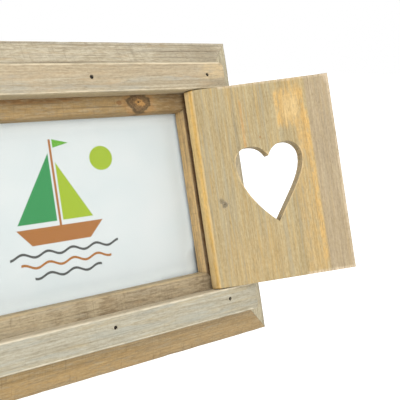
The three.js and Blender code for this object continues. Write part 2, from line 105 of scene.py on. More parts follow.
class Shader:
    """A material whose nodes are added and linked one call at a time."""

    def __init__(self, name):
        self.material = bpy.data.materials.new(name)
        self.material.use_nodes = True
        self.tree = self.material.node_tree
        self.tree.nodes.clear()

    def node(self, kind, inputs=None, **settings):
        made = self.tree.nodes.new(kind)
        for key, value in settings.items():
            setattr(made, key, value)
        for key, value in (inputs or {}).items():
            self.feed(made.inputs[key], value)
        return made

    def feed(self, socket, value):
        if isinstance(value, bpy.types.NodeSocket):
            self.tree.links.new(value, socket)
        else:
            socket.default_value = value

    def math(self, operation, first, second=0.0, third=0.0):
        inputs = {0: first, 1: second, 2: third}
        return self.node("ShaderNodeMath", inputs, operation=operation).outputs[0]

    def product(self, *factors):
        whole = factors[0]
        for factor in factors[1:]:
            whole = self.math("MULTIPLY", whole, factor)
        return whole

    def blend(self, *parts):
        """The sum of (value, weight) parts."""
        value, weight = parts[0]
        whole = self.math("MULTIPLY", value, weight)
        for value, weight in parts[1:]:
            whole = self.math("MULTIPLY_ADD", value, weight, whole)
        return whole

    def vector(self, operation, first, second):
        return self.node("ShaderNodeVectorMath", {0: first, 1: second}, operation=operation).outputs[0]

    def fade(self, value, start, end):
        """0 at start and before it, 1 at end and after it, with a smooth step between."""
        inputs = {"Value": value, "From Min": start, "From Max": end}
        return self.node("ShaderNodeMapRange", inputs, interpolation_type="SMOOTHSTEP").outputs[0]

    def span(self, value, low, high, soft):
        """1 between low and high, and 0 outside."""
        rise = self.fade(value, low - soft, low + soft)
        fall = self.fade(value, high + soft, high - soft)
        return self.product(rise, fall)

    def scale(self, value, low, high):
        """Low where the value is 0 and high where it is 1."""
        inputs = {"Value": value, "To Min": low, "To Max": high}
        return self.node("ShaderNodeMapRange", inputs).outputs[0]

    def spread(self, value, low, high):
        """0 where the value is low and 1 where it is high."""
        inputs = {"Value": value, "From Min": low, "From Max": high}
        return self.node("ShaderNodeMapRange", inputs).outputs[0]

    def mix(self, share, first, second):
        """The first colour, going over to the second as the share rises."""
        inputs = {0: share, 6: first, 7: second}
        return self.node("ShaderNodeMix", inputs, data_type="RGBA").outputs[2]

    def ramp(self, value, stops):
        """A colour for each value, from (place, colour) stops."""
        made = self.node("ShaderNodeValToRGB", {0: value})
        elements = made.color_ramp.elements
        while len(elements) < len(stops):
            elements.new(0.5)
        for element, (place, colour) in zip(elements, stops):
            element.position = place
            element.color = colour
        return made.outputs[0]

    def noise(self, place, length, width, detail=3.0):
        """Noise from 0 to 1 in blots of that length along the first axis and that width along the others."""
        drawn = self.vector("MULTIPLY", place, (1 / length, 1 / width, 1 / width))
        inputs = {"Vector": drawn, "Scale": 1.0, "Detail": detail, "Roughness": 0.6}
        return self.node("ShaderNodeTexNoise", inputs).outputs[0]

    def attribute(self, name, output):
        return self.node("ShaderNodeAttribute", attribute_name=name).outputs[output]

    def split(self, vector):
        return self.node("ShaderNodeSeparateXYZ", {0: vector}).outputs

    def bump(self, height, depth):
        """A normal from heights of 0 to 1, which stand for a depth in mm."""
        return self.node("ShaderNodeBump", {"Height": height, "Distance": depth * MM}).outputs[0]

    def finish(self, inputs):
        """Ends the material in one principled shader."""
        principled = self.node("ShaderNodeBsdfPrincipled", inputs)
        output = self.node("ShaderNodeOutputMaterial")
        self.tree.links.new(principled.outputs[0], output.inputs["Surface"])
        return self.material


# Timber

@dataclass
class Stain:
    """Colours of one kind of stained pine, the size of its marks in mm, and how strongly each one shows.

    Worn wood shows up to the worn reach, in mm, from an arris.
    """
    dark: tuple
    middle: tuple
    light: tuple
    late: tuple
    warm: tuple
    wash: tuple
    worn: tuple
    mark_length: float = 20.0
    mark_width: float = 2.6
    late_share: float = 0.3
    warm_share: float = 0.4
    wash_share: float = 0.5
    streak_share: float = 0.3
    sawn_share: float = 0.25
    worn_share: float = 0.9
    worn_reach: float = 0.6


@dataclass
class Tint:
    """A patch of another colour: its reach along and across the grain in mm, and how soft its sides are.

    It lies on the broad "face", on the "edges", or on "all" of the piece. Blotch is how far it breaks up,
    ragged how uneven its outline is, and sparse how much less of it is left.
    """
    along: tuple
    across: tuple
    soft: float
    colour: tuple
    share: float
    blotch: float = 0.4
    ragged: float = 1.0
    where: str = "face"
    sparse: float = 0.0


@dataclass
class Knot:
    """A knot, at its place along and across the grain in mm. Halo is how far a warm ring round it shows."""
    along: float
    across: float
    radius: float
    colour: tuple
    heart: tuple
    rim: tuple
    share: float = 0.7
    halo: float = 0.0


@dataclass
class Timber:
    """One wooden piece: its stain, where its timber was cut from, and the marks that it shows.

    Shift is its place in the log, pith the log's middle across and through the board, and ring the width
    of a growth ring, all in mm.
    """
    stain: Stain
    shift: tuple
    pith: tuple
    ring: float = 2.4
    tints: list = field(default_factory=list)
    knots: list = field(default_factory=list)


PALE = Stain(
    dark=paint(174, 157, 126), middle=paint(201, 186, 156), light=paint(222, 208, 180),
    late=paint(152, 134, 104), warm=paint(216, 186, 144), wash=paint(188, 186, 172),
    worn=paint(250, 232, 196),
)
GREY = Stain(
    dark=paint(174, 164, 138), middle=paint(199, 191, 167), light=paint(216, 210, 189),
    late=paint(152, 140, 114), warm=paint(210, 190, 146), wash=paint(188, 190, 178),
    worn=paint(250, 236, 206),
)
BROWN = Stain(
    dark=paint(152, 130, 96), middle=paint(184, 166, 130), light=paint(208, 192, 156),
    late=paint(112, 92, 64), warm=paint(200, 160, 104), wash=paint(172, 168, 152),
    worn=paint(236, 208, 156),
    mark_length=16.0, late_share=0.4, warm_share=0.5, streak_share=0.6, sawn_share=0.4, worn_share=0.45,
)
SIDE_BROWN = replace(BROWN, worn_share=0.1)
LOWER_BROWN = replace(BROWN, late_share=0.2, streak_share=0.2, sawn_share=0.5)
TAN = Stain(
    dark=paint(174, 152, 106), middle=paint(199, 178, 132), light=paint(218, 200, 156),
    late=paint(164, 136, 88), warm=paint(218, 182, 114), wash=paint(180, 174, 150),
    worn=paint(244, 214, 160),
    mark_length=42.0, mark_width=1.5, late_share=0.2, warm_share=0.55, streak_share=0.2, worn_share=0.6,
    worn_reach=1.5,
)

HONEY = paint(253, 217, 145)
# A rubbed honey colour, also a painted highlight along the hinge arris
RUBBED_HONEY_HIGHLIGHT = paint(255, 206, 116)
AMBER = paint(234, 190, 116)
PALE_AMBER = paint(240, 214, 160)
ORANGE = paint(218, 164, 94)
GREY_BROWN = paint(194, 174, 142)
STRIP_BROWN = paint(182, 148, 93)
BEVEL_GOLD = paint(186, 150, 89)
# Painted light, for the lower half of the bottom bevel
PAINTED_LIGHT_GOLD = paint(208, 174, 118)
GREYED_BROWN = paint(220, 202, 166)
DULL_BROWN = paint(172, 152, 120)
WEATHERED = paint(168, 154, 126)
# Smudge colour, also used as painted shade near the shutter
SMUDGE_AND_SHADE = paint(134, 110, 78)
# A warm wall colour, lightened with painted light
WALL_BROWN_PAINTED_LIGHT = paint(250, 208, 142)
# Painted shade, for the wood beside the right shutter
PAINTED_SHADE_BROWN = paint(104, 72, 34)
# Painted light, for the heart's right wall
PAINTED_LIGHT_WALL = paint(246, 228, 186)
# Rusty brown, made darker as painted shade under the top rail
RUST_BROWN_AND_SHADE = paint(156, 112, 64)
BEIGE = paint(236, 226, 192)
LIGHT_BEIGE = paint(240, 228, 200)
PALE_EDGE = paint(252, 244, 222)
PALE_END = paint(240, 218, 186)
RAIL_TAN = paint(204, 182, 146)
RAIL_GOLD = paint(230, 204, 158)
# Painted light, for the top rail's underside
UNDERSIDE_PAINTED_LIGHT = paint(216, 196, 154)
# Painted light, for the bottom rail's upward face
RAIL_TOP_PAINTED_LIGHT = paint(255, 238, 206)
# Painted light, for the right bevel where the shutter shades it
PAINTED_LIGHT_CREAM = paint(250, 232, 192)
KNOT_GREY = paint(128, 122, 104)
KNOT_BROWN = paint(140, 108, 68)
KNOT_RED = paint(164, 112, 64)
KNOT_RIM = paint(104, 84, 54)
KNOT_HALO = paint(204, 142, 74)
PITH = paint(72, 48, 28)

# Places on the boards in mm: on a shutter from its pivot, elsewhere from the middle of the picture
LEAF_HEIGHT = (-70, 70)
FRAME_WIDTH = (-140, 140)
BEVEL_START = 70.5
SIDE_BEVEL_START = 98.5
UPPER_BEVEL = (BEVEL_START, 100)
LOWER_BEVEL = (-100, -BEVEL_START)
RIGHT_BEVEL = (SIDE_BEVEL_START, 130)
LEFT_BEVEL = (-130, -SIDE_BEVEL_START)
UPPER_STRIP = (40, 60)
LOWER_STRIP = (-60, -40)

honey_edge = Tint(LEAF_HEIGHT, (-9, 0), 0.2, HONEY, 0.95, blotch=0.15, ragged=0.0, where="all")
# A worn, pale arris by the hinge edge, widened into a painted highlight
rubbed_arris_highlight = Tint(LEAF_HEIGHT, (-1.9, 0.4), 0.5, RUBBED_HONEY_HIGHLIGHT, 0.85, blotch=0.4, ragged=0.3, where="all")
right_shutter_tints = [
    # Greyer wood towards the free edge
    Tint(LEAF_HEIGHT, (63.2, 90), 0.5, GREY_BROWN, 0.85, blotch=0.2, ragged=0.3),
    # Amber wood above, beside and below the heart
    Tint((-70, 8), (51, 62.6), 2.0, AMBER, 0.4, blotch=0.7),
    Tint((-70, -24), (6, 44), 5.0, AMBER, 0.18, blotch=0.9),
    Tint((29, 49), (45, 61.5), 0.6, AMBER, 0.9, blotch=0.75, ragged=0.7),
    Tint((48, 70), (52, 61.5), 1.0, AMBER, 0.5, blotch=0.8),
    Tint((10, 32), (55, 62.8), 0.8, AMBER, 0.7, blotch=0.6, ragged=0.7),
    Tint((31, 46), (49, 58), 1.6, PALE_AMBER, 0.5, blotch=0.9),
    # Thin streaks
    Tint((-48, 36), (60.2, 62.8), 0.5, AMBER, 0.8, blotch=0.6, ragged=0.5),
    Tint((14, 46), (24.6, 26.2), 0.5, ORANGE, 0.6, blotch=0.5, ragged=0.4),
    Tint((16, 70), (20.8, 22.4), 0.7, KNOT_GREY, 0.28, blotch=0.5, ragged=0.6),
    # Pale ends and free edge, and painted light on the heart's right wall
    Tint((53.9, 70), (14, 80), 0.2, PALE_END, 0.7, blotch=0.8, ragged=0.1, where="all"),
    Tint((-70, -53.7), (50, 80), 0.2, PALE_END, 0.9, blotch=0.8, ragged=0.1, where="all"),
    Tint(LEAF_HEIGHT, (76.0, 90), 0.5, PALE_END, 0.7, blotch=0.8, ragged=0.3, where="all"),
    Tint((51, 70), (74, 90), 0.6, PALE_END, 0.7, blotch=0.5, ragged=0.2),
    Tint((-40, 8), (39, 60), 1.0, PAINTED_LIGHT_WALL, 0.85, blotch=0.3, ragged=0.5, where="edges"),
    honey_edge,
    rubbed_arris_highlight,
]
left_shutter_tints = [
    # An amber streak and greyer wood
    Tint((-40, 20), (14, 18), 1.6, AMBER, 0.7, blotch=0.6),
    Tint(LEAF_HEIGHT, (68, 90), 1.0, GREY_BROWN, 0.7, blotch=0.3),
    Tint((30, 70), (30, 42), 2.4, GREY_BROWN, 0.5, blotch=0.6),
    honey_edge,
    rubbed_arris_highlight,
]

# Smudges on the lower strip, the last one near the shutter being painted shade: reach along it in mm, and
# share
strip_smudges_and_shade = [((-16, -12), 0.4), ((-3, 3), 0.45), ((9, 17), 0.6), ((30, 34), 0.2), ((66, 80), 0.3)]
timbers = {
    "right_shutter": Timber(
        TAN, shift=(310, 45, 10), pith=(60, 95), ring=2.6, tints=right_shutter_tints,
        knots=[
            Knot(-9.8, 9.2, 1.7, KNOT_GREY, KNOT_GREY, GREY_BROWN, share=0.7),
            Knot(-7.7, 7.7, 1.5, KNOT_GREY, KNOT_GREY, GREY_BROWN, share=0.5),
            Knot(24.4, 34.2, 0.6, KNOT_RED, KNOT_RED, ORANGE, share=0.5),
        ],
    ),
    "left_shutter": Timber(
        TAN, shift=(-410, 145, 60), pith=(20, 85), ring=2.4, tints=left_shutter_tints,
        knots=[Knot(33, 62, 2.6, KNOT_GREY, KNOT_RED, KNOT_RIM, share=0.7, halo=0.3)],
    ),
    "top_rail": Timber(
        PALE, shift=(120, 300, 40), pith=(80, 60), ring=2.0,
        tints=[
            # Browner upper part, golden towards the right end, and an underside lightened with painted light
            Tint(FRAME_WIDTH, (63.4, 80), 0.8, RAIL_TAN, 0.55, blotch=0.4),
            Tint((84, 110), (61, 80), 1.0, RAIL_GOLD, 0.8, blotch=0.5),
            Tint(FRAME_WIDTH, (50, 55.7), 0.15, UNDERSIDE_PAINTED_LIGHT, 0.7, blotch=0.3, ragged=0.0, where="all"),
        ],
    ),
    "bottom_rail": Timber(
        GREY, shift=(520, -210, 90), pith=(-60, 75), ring=1.8,
        # Painted light on the rail's upward face, which the frame shades
        tints=[Tint(FRAME_WIDTH, (-55.7, -50), 0.15, RAIL_TOP_PAINTED_LIGHT, 0.95, blotch=0.2, ragged=0.0, where="all")],
    ),
    "base_top_member": Timber(
        BROWN, shift=(-230, 80, 20), pith=(95, 55), ring=2.2,
        tints=[
            # Pale bevel, weathered towards its right end
            Tint(FRAME_WIDTH, UPPER_BEVEL, 0.5, LIGHT_BEIGE, 0.8, blotch=0.4, ragged=0.2),
            Tint(FRAME_WIDTH, (86.2, 100), 0.4, PALE_EDGE, 0.6, blotch=0.5, ragged=0.4),
            Tint((66, 106), (BEVEL_START, 86.4), 1.2, WEATHERED, 0.4, blotch=0.5),
            Tint((90, 108), (BEVEL_START, 86.4), 1.2, WEATHERED, 0.45, blotch=0.5),
            Tint((50.4, 52), (74, 86), 0.35, WEATHERED, 0.8, blotch=0.5, ragged=0.3),
            # Brown inner strip, rusty along its top where painted shade under the rail darkens it, and
            # painted shade beside the right shutter
            Tint(FRAME_WIDTH, UPPER_STRIP, 1.5, STRIP_BROWN, 0.8, blotch=0.4, ragged=1.0, where="all"),
            # Rusty brown along the top of the strip, darkened as painted shade under the rail
            Tint((-60, 14), (53.4, 58), 0.8, RUST_BROWN_AND_SHADE, 0.7, blotch=0.6),
            # Painted shade where the strip meets the right shutter
            Tint((60, 90), UPPER_STRIP, 2.0, PAINTED_SHADE_BROWN, 0.5, blotch=0.4),
            Tint((75, 90), UPPER_STRIP, 0.5, PAINTED_SHADE_BROWN, 0.95, blotch=0.1, ragged=0.3),
        ],
        knots=[
            Knot(47.6, 51.6, 5.4, KNOT_BROWN, ORANGE, KNOT_RIM, share=0.85, halo=0.3),
            Knot(36.0, 51.9, 1.2, KNOT_RED, KNOT_RED, KNOT_RED, share=0.6),
        ],
    ),
    "base_bottom_member": Timber(
        LOWER_BROWN, shift=(700, 10, 130), pith=(-90, 60), ring=2.4,
        tints=[
            # Greyed inner strip and golden bevel, both duller towards the right
            Tint(FRAME_WIDTH, LOWER_STRIP, 1.2, GREYED_BROWN, 0.7, blotch=0.5, ragged=1.0, where="all"),
            Tint(FRAME_WIDTH, LOWER_BEVEL, 0.5, BEVEL_GOLD, 0.8, blotch=0.5, ragged=0.3),
            # Painted light on the lower half of the bevel
            Tint(FRAME_WIDTH, (-90, -79), 2.0, PAINTED_LIGHT_GOLD, 0.5, blotch=0.6),
            Tint((-10, 140), (-76, -BEVEL_START), 1.6, DULL_BROWN, 0.35, blotch=0.8),
            Tint((26, 140), (-86, -BEVEL_START), 2.0, DULL_BROWN, 0.3, blotch=0.9),
            Tint((14, 140), LOWER_STRIP, 2.0, DULL_BROWN, 0.6, blotch=0.8),
            # Specks and smudges on the strip, and painted shade near the shutter
            Tint(FRAME_WIDTH, LOWER_STRIP, 1.2, KNOT_RIM, 0.35, blotch=1.0, ragged=1.0, sparse=0.13),
            *[
                Tint(reach, LOWER_STRIP, 0.7, SMUDGE_AND_SHADE, share, blotch=0.6, ragged=1.5)
                for reach, share in strip_smudges_and_shade
            ],
        ],
    ),
    "base_right_member": Timber(
        SIDE_BROWN, shift=(60, 610, 70), pith=(110, 65), ring=2.2,
        tints=[
            # Pale bevel with a patch of painted light where the shutter shades it, a warm inner wall
            # lightened with painted light, and painted shade beside the shutter
            Tint(FRAME_WIDTH, RIGHT_BEVEL, 0.5, BEIGE, 0.85, blotch=0.3, ragged=0.2),
            # Painted light on the bevel where the open shutter shades it
            Tint((-14, 34), RIGHT_BEVEL, 1.5, PAINTED_LIGHT_CREAM, 0.9, blotch=0.2),
            # Warm inner wall, lightened with painted light
            Tint(FRAME_WIDTH, (70, 74.4), 0.3, WALL_BROWN_PAINTED_LIGHT, 0.9, blotch=0.4, ragged=0.0, where="all"),
            # Painted shade on the stile's front face, behind the shutter
            Tint(FRAME_WIDTH, (74.4, 84), 0.3, PAINTED_SHADE_BROWN, 0.95, blotch=0.2, ragged=0.0, where="all"),
        ],
    ),
    "base_left_member": Timber(
        SIDE_BROWN, shift=(-620, -90, 15), pith=(-100, 58), ring=2.5,
        tints=[
            Tint(FRAME_WIDTH, LEFT_BEVEL, 0.5, BEIGE, 0.85, blotch=0.3, ragged=0.2),
            # Warm inner wall, lightened with painted light
            Tint(FRAME_WIDTH, (-84, -70), 0.8, WALL_BROWN_PAINTED_LIGHT, 0.9, blotch=0.4, ragged=0.3, where="all"),
        ],
    ),
}


# Marks drawn this far off in the log don't follow the ones drawn at the board itself
ELSEWHERE = (250, 90, 170)

# Marks on all timber: rings that swell, fibres and pores, and in mm the fade of a rub and the grain's depth
RING_SWELL = 2.5
FIBRE_SHADE = (0.78, 1.22)
PORE_SHARE = 0.35
RUB_UNEVENNESS = 1.5
RUB_FULL = 0.1
RUB_GONE = 0.45
GRAIN_DEPTH = 0.12

# Along the grain, the outline of a tint is this many times more ragged and softer, and a knot longer
RAGGED_STRETCH = 5
SOFT_STRETCH = 4
KNOT_STRETCH = 1.25


def tint_share(shader, board, jitter, blots, tint):
    """How far a tint covers each place, from 0 to 1."""
    along, across, _ = shader.split(board)
    ragged_along = shader.math("MULTIPLY_ADD", jitter, RAGGED_STRETCH * tint.ragged, along)
    ragged_across = shader.math("MULTIPLY_ADD", jitter, tint.ragged, across)
    cover_along = shader.span(ragged_along, *tint.along, SOFT_STRETCH * tint.soft)
    cover_across = shader.span(ragged_across, *tint.across, tint.soft)
    level = 0.5 + tint.sparse
    patchy = shader.fade(blots, level - 0.2 * tint.blotch, level + 0.1 * tint.blotch)
    kept = shader.scale(patchy, 1 - tint.blotch, 1.0)
    cover = shader.product(cover_along, cover_across, kept, tint.share)
    if tint.where == "all":
        return cover
    face = shader.attribute("face", "Fac")
    return shader.product(cover, face if tint.where == "face" else shader.math("SUBTRACT", 1.0, face))


def knot_distance(shader, board, place, knot):
    """0 in the middle of a knot and about 1 at its ragged rim."""
    along, across, _ = shader.split(board)
    off_along = shader.math("DIVIDE", shader.math("SUBTRACT", along, knot.along), KNOT_STRETCH * knot.radius)
    off_across = shader.math("DIVIDE", shader.math("SUBTRACT", across, knot.across), knot.radius)
    squares = shader.math("MULTIPLY_ADD", off_along, off_along, shader.math("POWER", off_across, 2.0))
    ragged = shader.noise(place, knot.radius, 0.7 * knot.radius, 3.0)
    return shader.blend((shader.math("SQRT", squares), 1.0), (ragged, 1.2), (1.0, -0.6))


def knot_colour(shader, colour, place, distance, knot):
    """Lays a knot on the wood: a dark pith in a warm heart, faint rings, a dark rim and thin cracks."""
    halo = shader.product(shader.span(distance, 0.9, 1.45, 0.3), knot.halo)
    colour = shader.mix(halo, colour, KNOT_HALO)
    body = shader.ramp(distance, [
        (0.05, PITH), (0.13, knot.heart), (0.3, knot.heart), (0.45, knot.colour), (0.65, knot.colour),
        (0.85, knot.rim),
    ])
    inside = shader.fade(distance, 1.1, 0.9)
    colour = shader.mix(shader.product(inside, knot.share), colour, body)
    rings = shader.fade(shader.math("FRACT", shader.math("MULTIPLY", distance, 5.0)), 0.6, 1.0)
    grain = shader.noise(place, 0.5 * knot.radius, 0.4 * knot.radius)
    cracks = shader.fade(shader.math("ABSOLUTE", shader.math("SUBTRACT", grain, 0.5)), 0.05, 0.01)
    marks = shader.blend((rings, 0.3), (cracks, 0.5))
    return shader.mix(shader.product(marks, inside, knot.share), colour, PITH)


def wood_material(name, timber):
    """Stained pine with growth rings, fibres, streaks, pores, knots, tinted patches and rubbed arrises."""
    shader = Shader(name)
    stain = timber.stain
    board = shader.attribute("board", "Vector")
    place = shader.vector("ADD", board, timber.shift)
    elsewhere = shader.vector("ADD", place, ELSEWHERE)
    _, across, through = shader.split(board)
    sway = shader.scale(shader.noise(place, 90, 26), -3.5, 3.5)
    jitter = shader.scale(shader.noise(place, 16, 1.6), -1.2, 1.2)

    # Growth rings around the pith, which swell round each knot
    pith_across, pith_through = timber.pith
    off_across = shader.math("SUBTRACT", shader.math("ADD", across, sway), pith_across)
    off_through = shader.math("SUBTRACT", through, pith_through)
    squares = shader.math("MULTIPLY_ADD", off_across, off_across, shader.math("POWER", off_through, 2.0))
    rings = shader.math("DIVIDE", shader.math("SQRT", squares), timber.ring)
    knots = [(knot, knot_distance(shader, board, place, knot)) for knot in timber.knots]
    for knot, distance in knots:
        rings = shader.math("MULTIPLY_ADD", shader.fade(distance, 2.4, 0.6), RING_SWELL, rings)
    late = shader.ramp(shader.math("FRACT", rings), [
        (0.0, grey(0.3)), (0.12, grey(0.0)), (0.7, grey(0.08)), (0.96, WHITE),
    ])

    # Fibres in three widths and short flecks
    fine = shader.noise(place, 9, 0.45, 3.0)
    medium = shader.noise(place, 24, 1.1, 3.0)
    broad = shader.noise(place, 120, 7.0, 2.0)
    flecks = shader.noise(elsewhere, 2.2, 0.8, 3.0)
    fibres = shader.blend((fine, 0.22), (medium, 0.36), (broad, 0.08), (flecks, 0.34))
    fibres = shader.spread(fibres, 0.38, 0.62)
    colour = shader.ramp(fibres, [(0.0, stain.dark), (0.5, stain.middle), (1.0, stain.light)])
    colour = shader.mix(shader.product(late, medium, 2 * stain.late_share), colour, stain.late)

    # Stain and wash that took unevenly, then the patches of this piece
    warm = shader.fade(shader.noise(place, stain.mark_length, stain.mark_width, 4.0), 0.5, 0.68)
    colour = shader.mix(shader.product(warm, stain.warm_share), colour, stain.warm)
    wash_marks = shader.noise(elsewhere, 1.3 * stain.mark_length, 1.3 * stain.mark_width, 4.0)
    washed = shader.fade(wash_marks, 0.48, 0.66)
    colour = shader.mix(shader.product(washed, stain.wash_share), colour, stain.wash)
    blots = shader.noise(place, 5, 1.6, 5.0)
    shade = shader.scale(fibres, *FIBRE_SHADE)
    for tint in timber.tints:
        tone = shader.node("ShaderNodeVectorMath", {0: tint.colour[:3], "Scale": shade}, operation="SCALE")
        colour = shader.mix(tint_share(shader, board, jitter, blots, tint), colour, tone.outputs[0])

    # Dark streaks, open pores, saw marks across the grain, and knots
    streaks = shader.fade(shader.noise(elsewhere, 70, 0.8, 3.0), 0.54, 0.68)
    colour = shader.mix(shader.product(streaks, blots, 2 * stain.streak_share), colour, stain.late)
    pores = shader.fade(shader.noise(place, 4.0, 0.4, 2.0), 0.6, 0.72)
    colour = shader.mix(shader.product(pores, PORE_SHARE), colour, stain.late)
    sawn = shader.fade(shader.noise(place, 0.8, 14, 2.0), 0.56, 0.72)
    colour = shader.mix(shader.product(sawn, blots, stain.sawn_share), colour, stain.late)
    for knot, distance in knots:
        colour = knot_colour(shader, colour, place, distance, knot)

    # Arrises rubbed through to pale wood
    uneven = shader.noise(place, 12, 3.0)
    arris = shader.attribute("arris", "Fac")
    rub = shader.math("MULTIPLY_ADD", uneven, RUB_UNEVENNESS * stain.worn_reach, arris)
    worn = shader.fade(rub, stain.worn_reach + RUB_GONE, stain.worn_reach - RUB_FULL)
    colour = shader.mix(shader.product(worn, stain.worn_share), colour, stain.worn)

    height = shader.blend((fine, 0.6), (late, 0.25), (sawn, -0.2), (pores, -0.5), (streaks, -0.3))
    return shader.finish({
        "Base Color": colour,
        "Roughness": shader.scale(fine, 0.62, 0.86),
        "Specular IOR Level": 0.3,
        "Normal": shader.bump(height, GRAIN_DEPTH),
    })


# Other materials

BOARD_DARK = paint(104, 74, 46)
BOARD_MIDDLE = paint(142, 106, 70)
BOARD_LIGHT = paint(170, 134, 94)
BOARD_SPECK = paint(82, 56, 34)
BOARD_RUBBED = paint(190, 158, 116)
FIBREBOARD_DEPTH = 0.1
METAL_DEPTH = 0.03
GLASS_TINT = (0.992, 0.998, 0.996, 1)
GLASS_GLOSS = 0.06
SMEAR_ROUGHNESS = 0.06


def fibreboard_material():
    """Pressed brown fibreboard: matted fibres, specks and clouds of darker glue."""
    shader = Shader("fibreboard")
    board = shader.attribute("board", "Vector")
    matted = shader.noise(board, 2.6, 0.6, 4.0)
    crossed = shader.noise(board, 0.7, 2.4, 4.0)
    clouds = shader.noise(board, 26, 22, 3.0)
    fibres = shader.blend((matted, 0.4), (crossed, 0.35), (clouds, 0.25))
    colour = shader.ramp(fibres, [(0.36, BOARD_DARK), (0.5, BOARD_MIDDLE), (0.64, BOARD_LIGHT)])
    specks = shader.fade(shader.noise(board, 0.8, 0.6, 2.0), 0.64, 0.72)
    colour = shader.mix(shader.product(specks, 0.5), colour, BOARD_SPECK)
    rub = shader.math("MULTIPLY_ADD", shader.noise(board, 5, 5), 1.2, shader.attribute("arris", "Fac"))
    colour = shader.mix(shader.product(shader.fade(rub, 1.3, 0.6), 0.6), colour, BOARD_RUBBED)
    return shader.finish({
        "Base Color": colour,
        "Roughness": shader.scale(matted, 0.7, 0.95),
        "Specular IOR Level": 0.25,
        "Normal": shader.bump(shader.blend((matted, 0.5), (crossed, 0.5)), FIBREBOARD_DEPTH),
    })


def metal_material(name, bright, dull, stain, stain_share, rough):
    """Plated or plain steel with grain, scratches, dull clouds and stains."""
    shader = Shader(name)
    board = shader.attribute("board", "Vector")
    grains = shader.node("ShaderNodeTexVoronoi", {"Vector": board, "Scale": 0.8}).outputs["Color"]
    clouds = shader.noise(board, 5, 4, 4.0)
    scratches = shader.fade(shader.noise(board, 9, 0.12, 2.0), 0.62, 0.72)
    tone = shader.blend((shader.split(grains)[0], 0.35), (clouds, 0.65))
    colour = shader.ramp(tone, [(0.25, dull), (0.65, bright)])
    stained = shader.fade(shader.noise(board, 1.6, 1.3, 4.0), 0.54, 0.7)
    colour = shader.mix(shader.product(stained, stain_share), colour, stain)
    colour = shader.mix(shader.product(scratches, 0.35), colour, bright)
    worn = shader.fade(shader.attribute("arris", "Fac"), 0.35, 0.05)
    colour = shader.mix(shader.product(worn, 0.4), colour, bright)
    return shader.finish({
        "Base Color": colour,
        "Metallic": 1.0,
        "Roughness": shader.scale(shader.blend((clouds, 0.7), (scratches, 0.3)), rough - 0.12, rough + 0.2),
        "Normal": shader.bump(shader.blend((clouds, 0.6), (scratches, -0.4)), METAL_DEPTH),
    })


def clear_glass():
    """Thin window glass: clear, with a reflection that grows towards the edge of view."""
    shader = Shader("clear_glass")
    place = shader.node("ShaderNodeNewGeometry").outputs["Position"]
    smears = shader.noise(place, 0.05, 0.03, 4.0)
    gloss = shader.node("ShaderNodeBsdfGlossy", {"Roughness": shader.scale(smears, 0.0, SMEAR_ROUGHNESS)})
    clear = shader.node("ShaderNodeBsdfTransparent", {"Color": GLASS_TINT})
    facing = shader.node("ShaderNodeLayerWeight", {"Blend": GLASS_GLOSS}).outputs["Facing"]
    both = shader.node("ShaderNodeMixShader", {0: facing, 1: clear.outputs[0], 2: gloss.outputs[0]})
    output = shader.node("ShaderNodeOutputMaterial")
    shader.tree.links.new(both.outputs[0], output.inputs["Surface"])
    return shader.material


# Printed card: a small boat on waves under a sun, in places across and up the card in mm

BROWN_INK = paint(188, 118, 42)
DARK_INK = paint(84, 84, 80)
GREEN_INK = paint(44, 158, 82)
LEAF_INK = paint(112, 190, 40)
LIME_INK = paint(178, 204, 10)
printed_shapes = [
    (GREEN_INK, [(-2.6, 30), (-23, -5), (-2.6, -5)]),
    (LIME_INK, [(0.6, 25), (0.6, -5), (17, -5)]),
    (LEAF_INK, [(0.4, 37), (0.4, 32.5), (9, 34.6)]),
    (BROWN_INK, [(-1.6, 37), (-1.6, -8), (-0.4, -8), (-0.4, 37)]),
    (BROWN_INK, [(-24, -7.5), (-17, -16), (14, -16), (22, -7.5)]),
]
printed_waves = [(-20.5, 29, DARK_INK), (-26, 24, BROWN_INK), (-31.5, 18, DARK_INK)]
PRINTED_SUN = (26, 25)
SUN_RADIUS = 6.5
WAVE_LENGTH = 13.0
WAVE_RISE = 1.1
WAVE_HALF_WIDTH = 0.65
WAVE_EDGE = 0.2
INK_EDGE = 0.25
PAPER_DEPTH = 0.02

# Painted light: the card is made brighter within these margins, in mm, of the edges of the opening, where
# the lip shades it
SIGHT_HALF_HEIGHT = 46.0
SIGHT_HALF_WIDTH = 74.0
TOP_MARGIN = 8.0
LOWER_MARGIN = 7.0
SIDE_MARGIN = 4.0
CORNER_WIDTH = 8.0
CORNER_HEIGHT = 24.0
TOP_SHARE = 0.85
LOWER_SHARE = 0.5
SIDE_SHARE = 0.2
CORNER_SHARE = 0.7
CARD_SHADE = paint(238, 245, 245)
CARD_WHITE = paint(248, 251, 250)
CARD_PAINTED_LIGHT = (0.74, 0.77, 0.76, 1)


def inside_shape(shader, x, z, corners):
    """1 inside a convex shape whose corners run anticlockwise, and 0 outside."""
    cover = 1.0
    for start, end in zip(corners, corners[1:] + corners[:1]):
        side = (Vector(end) - Vector(start)).normalized()
        reach = start[0] * side.y - start[1] * side.x
        out = shader.blend((x, side.y), (z, -side.x))
        cover = shader.product(cover, shader.fade(out, reach + INK_EDGE, reach - INK_EDGE))
    return cover


